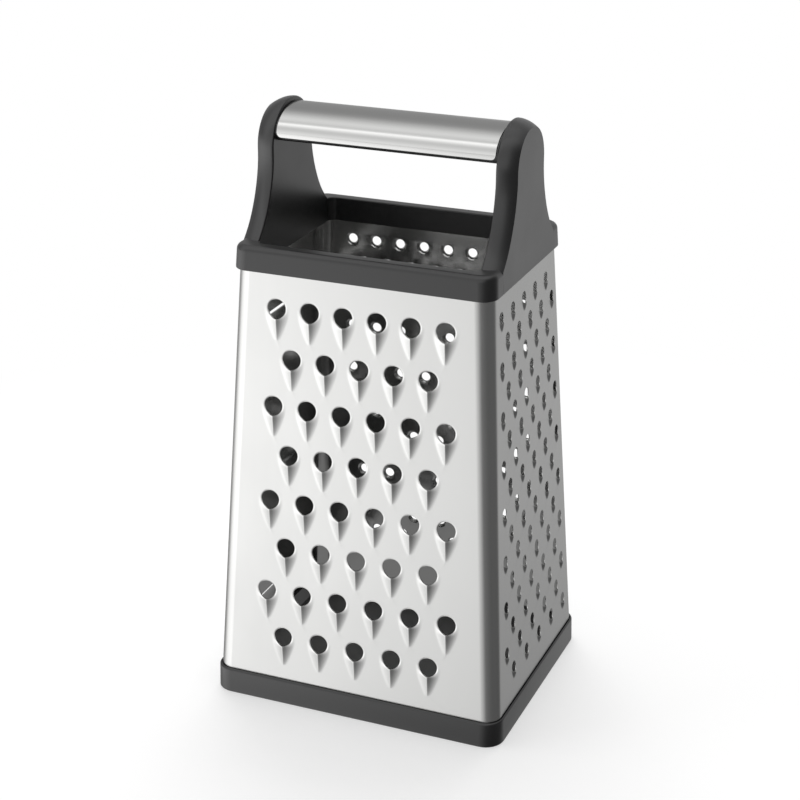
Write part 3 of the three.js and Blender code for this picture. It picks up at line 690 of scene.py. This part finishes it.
def arm_pair():
    """Both arms: a side view with its corners swept round, drawn out to its thickness."""
    bm = bmesh.new()
    half, foot = ARM_HALF_DEPTH, ARM_HALF_DEPTH + ARM_FOOT_SPREAD
    root = COLLAR_FOOT + ARM_ROOT_RISE
    waist = COLLAR_TOP + ARM_FOOT_SPREAD
    x = ARM_INNER + ARM_INSIDE_PLAY
    outline = [(-foot, root), (foot, root), (foot, COLLAR_TOP), (half, waist), (half, ARM_CROWN_LEVEL),
               (-half, ARM_CROWN_LEVEL), (-half, waist), (-foot, COLLAR_TOP)]
    corners = [bm.verts.new((x, y, z)) for y, z in outline]
    bm.faces.new(corners)
    sweeps = ((corners[4:6], ARM_CROWN_ROUND, ARM_CROWN_STEPS),
              ([corners[3], corners[6]], ARM_WAIST_SWEEP, ARM_WAIST_STEPS))
    for picked, sweep, steps in sweeps:
        bmesh.ops.bevel(bm, geom=picked, offset=sweep, offset_type="OFFSET", segments=steps,
                        profile=0.5, affect="VERTICES", material=-1)
    made = bmesh.ops.extrude_face_region(bm, geom=list(bm.faces))["geom"]
    bmesh.ops.translate(bm, vec=(ARM_INNER_ROUND, 0.0, 0.0), verts=verts_in(made))

    # The outer side comes in by steps that follow a round
    end = max(bm.faces, key=lambda face: face.calc_center_median().x)
    if end.normal.x < 0:
        bmesh.ops.reverse_faces(bm, faces=bm.faces)
    span = (ARM_OUTER - x - ARM_INNER_ROUND) / ARM_SIDE_STEPS
    for step in range(1, ARM_SIDE_STEPS + 1):
        inset = ARM_SIDE_ROUND * (2 * step - 1) / ARM_SIDE_STEPS ** 2
        bmesh.ops.inset_region(bm, faces=[end], thickness=inset, depth=span, use_even_offset=True)

    # The root stays level, and the outer side runs flush down the collar's draft
    for vertex in bm.verts:
        if vertex.co.z < root + ARM_SIDE_ROUND + ARM_SLACK:
            vertex.co.z = root
    shoulder = COLLAR_TOP - COLLAR_EDGE_ROUND
    bmesh.ops.bisect_plane(bm, geom=everything(bm), plane_co=(0.0, 0.0, shoulder),
                           plane_no=(0.0, 0.0, 1.0))
    for vertex in bm.verts:
        if vertex.co.z < shoulder - ARM_SLACK and vertex.co.x > ARM_OUTER - ARM_SLACK:
            vertex.co.x = collar_half_width(vertex.co.z - COLLAR_FOOT) + ARM_OUTSIDE_PLAY
    inner_edges = [e for e in bm.edges if all(v.co.x < x + ARM_SLACK for v in e.verts)
                   and any(v.co.z > root + ARM_SLACK for v in e.verts)]
    bmesh.ops.bevel(bm, geom=inner_edges, offset=ARM_INNER_ROUND, offset_type="OFFSET",
                    segments=ARM_INNER_STEPS, profile=0.5, affect="EDGES", material=-1)
    twin = bmesh.ops.duplicate(bm, geom=everything(bm))["geom"]
    bmesh.ops.rotate(bm, cent=(0.0, 0.0, 0.0), matrix=Matrix.Rotation(math.pi, 3, "Z"),
                     verts=verts_in(twin))
    bmesh.ops.recalc_face_normals(bm, faces=bm.faces)
    return bm


def top_frame():
    """Collar and arms joined into one moulding."""
    arms = piece_from(arm_pair(), "arms_blank", FRAME_PLASTIC)
    collar = piece_from(collar_ring(), "collar_blank", FRAME_PLASTIC)
    join = collar.modifiers.new("arms", "BOOLEAN")
    join.operation = "UNION"
    join.solver = "EXACT"
    join.object = arms
    shown = bpy.context.evaluated_depsgraph_get()
    shown.update()
    mesh = bpy.data.meshes.new_from_object(collar.evaluated_get(shown))
    for blank in (arms, collar):
        bpy.data.objects.remove(blank)
    bm = bmesh.new()
    bm.from_mesh(mesh)
    bmesh.ops.remove_doubles(bm, verts=bm.verts, dist=FRAME_WELD)
    bmesh.ops.scale(bm, vec=(1 / MM,) * 3, verts=bm.verts)
    keep_flats(piece_from(bm, "top_frame_moulding", FRAME_PLASTIC, "top_frame",
                          FRAME_SHARP))


top_frame()


# Grip

def grip_loop(bm, x, shape):
    """Upright closed line on the grip's axis; the shape gives depth and height for a turn."""
    verts = bmesh.ops.create_circle(bm, segments=GRIP_STEPS, radius=1.0)["verts"]
    edges = edges_at(verts)
    for vertex in verts:
        y, z = shape(vertex.co.x, vertex.co.y)
        vertex.co = Vector((x, y, GRIP_LEVEL + z))
    return edges


def grip_arch(cosine, sine, shrink=0.0):
    """Upper side of the grip, a half ellipse over its widest part."""
    return ((GRIP_HALF_DEPTH - shrink) * cosine,
            GRIP_WIDEST + (GRIP_TOP - GRIP_WIDEST - shrink) * sine)


def cover_line(cosine, sine):
    """The arch, with sides that run down and turn in a little."""
    if sine >= 0:
        return grip_arch(cosine, sine)
    return (math.copysign(GRIP_HALF_DEPTH - COVER_TURN_IN * sine ** 2, cosine),
            GRIP_WIDEST + COVER_SIDE * sine)


def core_line(shrink):
    """Section of the core: the arch drawn in, over a small belly."""
    def line(cosine, sine):
        if sine >= 0:
            return grip_arch(cosine, sine, shrink)
        return BELLY_HALF_DEPTH * cosine, BELLY_LEVEL + BELLY_DROP * sine
    return line


def tenon_line(cosine, sine):
    return TENON_HALF_DEPTH * cosine, TENON_HALF_HEIGHT * sine


def grip_core():
    """Bar under the cover, with a disc at each end and a tenon into each arm."""
    bm = bmesh.new()
    disc_in, disc_out = COVER_END + DISC_COVER_GAP, ARM_INNER - DISC_ARM_GAP
    under_cover, disc = core_line(COVER_SHEET + CORE_PLAY), core_line(DISC_INSET)
    stations = [(disc_in, under_cover), (disc_in, disc), (disc_out, disc), (disc_out, tenon_line),
                (ARM_INNER + TENON_LENGTH, tenon_line)]
    whole = [(-x, line) for x, line in reversed(stations)] + stations
    loops = [grip_loop(bm, *station) for station in whole]
    for here, after in zip(loops, loops[1:]):
        bmesh.ops.bridge_loops(bm, edges=here + after)
    for end in (loops[0], loops[-1]):
        bmesh.ops.contextual_create(bm, geom=end)
    bmesh.ops.recalc_face_normals(bm, faces=bm.faces)
    piece_from(bm, "grip_core_bar", CORE_PLASTIC, "grip_core", CORE_SHARP)


def grip_cover():
    """Bent sheet over the core, open below, with its lower corners cut round."""
    bm = bmesh.new()
    grip_loop(bm, -COVER_END, cover_line)
    bmesh.ops.bisect_plane(bm, geom=bm.verts[:] + bm.edges[:], plane_no=(0.0, 0.0, -1.0),
                           plane_co=(0.0, 0.0, GRIP_LEVEL - COVER_SKIRT), clear_outer=True)
    made = bmesh.ops.extrude_edge_only(bm, edges=bm.edges[:])["geom"]
    bmesh.ops.translate(bm, vec=(2 * COVER_END, 0.0, 0.0), verts=verts_in(made))
    for vertex in bm.verts:
        short = COVER_CORNER - (vertex.co.z - GRIP_LEVEL + COVER_SKIRT)
        if short > 0:
            cut = COVER_CORNER - math.sqrt(max(0.0, COVER_CORNER ** 2 - short ** 2))
            vertex.co.x -= math.copysign(cut, vertex.co.x)
    face_up(bm)
    cover = piece_from(bm, "grip_cover_sheet", COVER_STEEL, "grip_cover")
    rounding = thicken(cover, COVER_SHEET, COVER_EDGE)
    rounding.limit_method = "ANGLE"
    rounding.angle_limit = COVER_SHARP
    rounding.harden_normals = True


grip_core()
grip_cover()


# Floor, in metres

FLOOR_REACH = 6.0
FLOOR_COLOUR, BOUNCE_COLOUR = (0.62, 0.62, 0.62, 1.0), (0.8, 0.8, 0.8, 1.0)
FLOOR_GLOW, WHITE_GLOW = 0.45, 1.0
SHADOW_SPAN = (0.09, 0.38)  # over this way from the middle, the floor runs out to plain white
# Floor patch under the body: a darker grey as painted shade, and a glow as a painted reflection in the
# steel
INSIDE_PAINTED_SHADE = (0.3, 0.3, 0.3, 1.0)
INSIDE_PAINTED_REFLECTION = 0.24
INSIDE_RISE = 0.2 * MM  # keeps the patch off the floor
FIRST_MIRROR = 1.5  # a glossy depth below this is the first reflection


def light_path(tree):
    return add_node(tree, "ShaderNodeLightPath").outputs


def bare_material(name):
    """A material without any nodes yet."""
    material = bpy.data.materials.new(name)
    material.use_nodes = True
    material.node_tree.nodes.clear()
    return material, material.node_tree


def mixed_shader(tree, share, first, second):
    return add_node(tree, "ShaderNodeMixShader", {"Fac": share, 1: first, 2: second}).outputs[0]


def matt(tree, colour):
    return add_node(tree, "ShaderNodeBsdfDiffuse", {"Color": colour}).outputs[0]


def glow(tree, strength):
    return add_node(tree, "ShaderNodeEmission", {"Strength": strength}).outputs[0]


def flat_sheet(name, half_x, half_y, z, material):
    """Level sheet round the origin."""
    bm = bmesh.new()
    verts = bmesh.ops.create_grid(bm, x_segments=1, y_segments=1, size=1.0)["verts"]
    bmesh.ops.scale(bm, vec=(half_x, half_y, 1.0), verts=verts)
    bmesh.ops.translate(bm, vec=(0.0, 0.0, z), verts=verts)
    return new_object(bm, name, material)


def floor():
    """Pale floor that reads white to the camera and keeps the shadow."""
    material, tree = bare_material("pale_floor")
    near = add_node(tree, "ShaderNodeAddShader", {
        0: matt(tree, FLOOR_COLOUR), 1: glow(tree, FLOOR_GLOW)}).outputs[0]
    place = add_node(tree, "ShaderNodeTexCoord").outputs["Object"]
    distance = add_node(tree, "ShaderNodeVectorMath", {0: place}, operation="LENGTH").outputs["Value"]
    seen = mixed_shader(tree, fitted(tree, distance, SHADOW_SPAN), near, glow(tree, WHITE_GLOW))
    shown = mixed_shader(tree, light_path(tree)["Is Camera Ray"], matt(tree, BOUNCE_COLOUR), seen)
    add_node(tree, "ShaderNodeOutputMaterial", {"Surface": shown})
    plane = flat_sheet("floor", FLOOR_REACH, FLOOR_REACH, 0.0, material)
    plane.visible_glossy = False


def painted_shade_patch():
    """Patch of floor under the open body, painted darker grey as painted shade, which glows as a painted
    reflection that the steel inside mirrors.
    """
    material, tree = bare_material("painted_shade_floor")
    path = light_path(tree)
    # The steel's first reflection sees the glow, a painted reflection; every other ray sees the darker
    # grey, painted shade
    first = worked(tree, "LESS_THAN", path["Glossy Depth"], FIRST_MIRROR)
    mirrored = worked(tree, "MULTIPLY", path["Is Glossy Ray"], first)
    shown = mixed_shader(tree, mirrored, matt(tree, INSIDE_PAINTED_SHADE), glow(tree, INSIDE_PAINTED_REFLECTION))
    add_node(tree, "ShaderNodeOutputMaterial", {"Surface": shown})
    under_wall = SHEET + GROOVE_GAP + RIM_INNER_WALL / 2
    half_x, half_y = body_half_width(0.0) - under_wall, body_half_depth(0.0) - under_wall
    plane = flat_sheet("painted_shade_patch", half_x * MM, half_y * MM, INSIDE_RISE, material)


# Light and camera, in metres

# Brightness that the steel mirrors: round the walls by degrees from the front to the right, up
# them by the share of the way from straight down to straight up, and over the vault by degrees
# from behind the part to the camera's side
WALL_LEVELS = (
    (-180, 0.26), (-146, 0.22), (-130, 0.2), (-112, 0.18), (-96, 0.38), (-84, 0.63), (-73, 0.79),
    (-60, 0.87), (-36, 0.93), (-28, 0.84), (-20, 0.56), (-10, 0.47), (2, 0.36), (22, 0.11),
    (60, 0.07), (124, 0.07), (140, 0.25), (180, 0.26))
HEIGHT_LEVELS = (
    (0.0, 0.85), (0.1, 0.6), (0.22, 0.62), (0.27, 0.76), (0.31, 1.0), (0.36, 1.0), (0.42, 0.93),
    (1.0, 0.92))
VAULT_LEVELS = (
    (0, 0.17), (34, 0.17), (44, 0.185), (50, 0.23), (56, 0.3), (63, 0.39), (70, 0.475), (78, 0.53),
    (86, 0.5), (93, 0.42), (98, 0.48), (102, 0.79), (107, 0.79), (115, 0.6), (126, 0.45),
    (138, 0.43), (150, 0.48), (165, 0.55), (180, 0.6))
AWAY, RIGHTWARDS = (-0.383, 0.924, 0.0), (0.924, 0.383, 0.0)  # level, as seen in the picture
LIFT_SPAN, WALL_LIFT = (0.03, 0.25), 0.8  # the wall stands higher towards the right
VAULT_SPAN = (-0.1, 0.08)  # over these heights the wall runs into the vault
EVEN_LIGHT, MIRRORED_LIGHT, WHITE_LIGHT = 0.55, 2.0, 1.0
WHITE = (1.0, 1.0, 1.0, 1.0)

CAMERA_PLACE = (0.25954, -0.62539, 0.39437)
CAMERA_DOWN, CAMERA_TURN = math.radians(22.421), math.radians(22.531)
CAMERA_LENS, CAMERA_SENSOR = 85.25, 36.0
CAMERA_NEAR = 0.05
LIGHT_AIM = (0.0, 0.0, 0.1)


def levels_over(tree, share, stops):
    """Grey that follows the stops over a share from 0 to 1."""
    levels = add_node(tree, "ShaderNodeValToRGB", {"Fac": share})
    ramp = levels.color_ramp
    while len(ramp.elements) < len(stops):
        ramp.elements.new(0.5)
    for element, (position, level) in zip(ramp.elements, stops):
        element.position = position
        element.color = (level, level, level, 1.0)
    return levels.outputs["Color"]


def mirrored_room(tree):
    """What the steel mirrors: walls, bright on the left and dark on the right, under a vault."""
    way = add_node(tree, "ShaderNodeTexCoord").outputs["Generated"]
    parts = add_node(tree, "ShaderNodeSeparateXYZ", {"Vector": way}).outputs
    turn = worked(tree, "ARCTAN2", parts["X"], worked(tree, "MULTIPLY", parts["Y"], -1.0))
    walls = levels_over(tree, fitted(tree, turn, (-math.pi, math.pi)),
                        [((angle + 180) / 360, level) for angle, level in WALL_LEVELS])
    heights = levels_over(tree, fitted(tree, parts["Z"], (-1.0, 1.0)), HEIGHT_LEVELS)
    wall = blended(tree, 1.0, walls, heights, "MULTIPLY")
    climb = worked(tree, "ARCTAN2", parts["Z"], along(tree, way, AWAY))
    vault = levels_over(tree, fitted(tree, climb, (0.0, math.pi)),
                        [(angle / 180, level) for angle, level in VAULT_LEVELS])
    lift = fitted(tree, along(tree, way, RIGHTWARDS), LIFT_SPAN, (0.0, WALL_LIFT))
    above = fitted(tree, worked(tree, "SUBTRACT", parts["Z"], lift), VAULT_SPAN)
    return blended(tree, above, wall, vault)


def light_all_round(tree, colour, strength):
    return add_node(tree, "ShaderNodeBackground", {"Color": colour, "Strength": strength}).outputs[0]


def studio():
    """White to the camera, even light on matt surfaces, and a room of its own in the steel."""
    world = bpy.data.worlds.new("studio")
    bpy.context.scene.world = world
    world.use_nodes = True
    tree = world.node_tree
    tree.nodes.clear()
    path = light_path(tree)
    lit = mixed_shader(tree, path["Is Glossy Ray"], light_all_round(tree, WHITE, EVEN_LIGHT),
                       light_all_round(tree, mirrored_room(tree), MIRRORED_LIGHT))
    shown = mixed_shader(tree, path["Is Camera Ray"], lit, light_all_round(tree, WHITE, WHITE_LIGHT))
    add_node(tree, "ShaderNodeOutputWorld", {"Surface": shown})


def softbox(name, place, size, power):
    """Square soft light that points at the part and isn't mirrored in it."""
    lamp = bpy.data.lights.new(name, "AREA")
    lamp.shape = "RECTANGLE"
    lamp.size, lamp.size_y = size, size
    lamp.energy = power
    holder = bpy.data.objects.new(name, lamp)
    holder.location = place
    holder.rotation_euler = (Vector(LIGHT_AIM) - Vector(place)).to_track_quat("-Z", "Y").to_euler()
    holder.visible_glossy = False
    bpy.context.scene.collection.objects.link(holder)


def camera():
    """Camera at the photograph's viewing angle."""
    lens = bpy.data.cameras.new("camera")
    lens.lens, lens.sensor_width = CAMERA_LENS, CAMERA_SENSOR
    lens.clip_start = CAMERA_NEAR
    holder = bpy.data.objects.new("camera", lens)
    holder.location = CAMERA_PLACE
    holder.rotation_euler = (math.pi / 2 - CAMERA_DOWN, 0.0, CAMERA_TURN)
    bpy.context.scene.collection.objects.link(holder)
    bpy.context.scene.camera = holder


floor()
painted_shade_patch()
studio()
softbox("overhead", place=(-0.2, 0.6, 1.2), size=0.9, power=9.0)
softbox("left", place=(-1.1, -0.55, 0.75), size=0.8, power=3.0)
camera()
bpy.context.scene.view_settings.view_transform = "Standard"
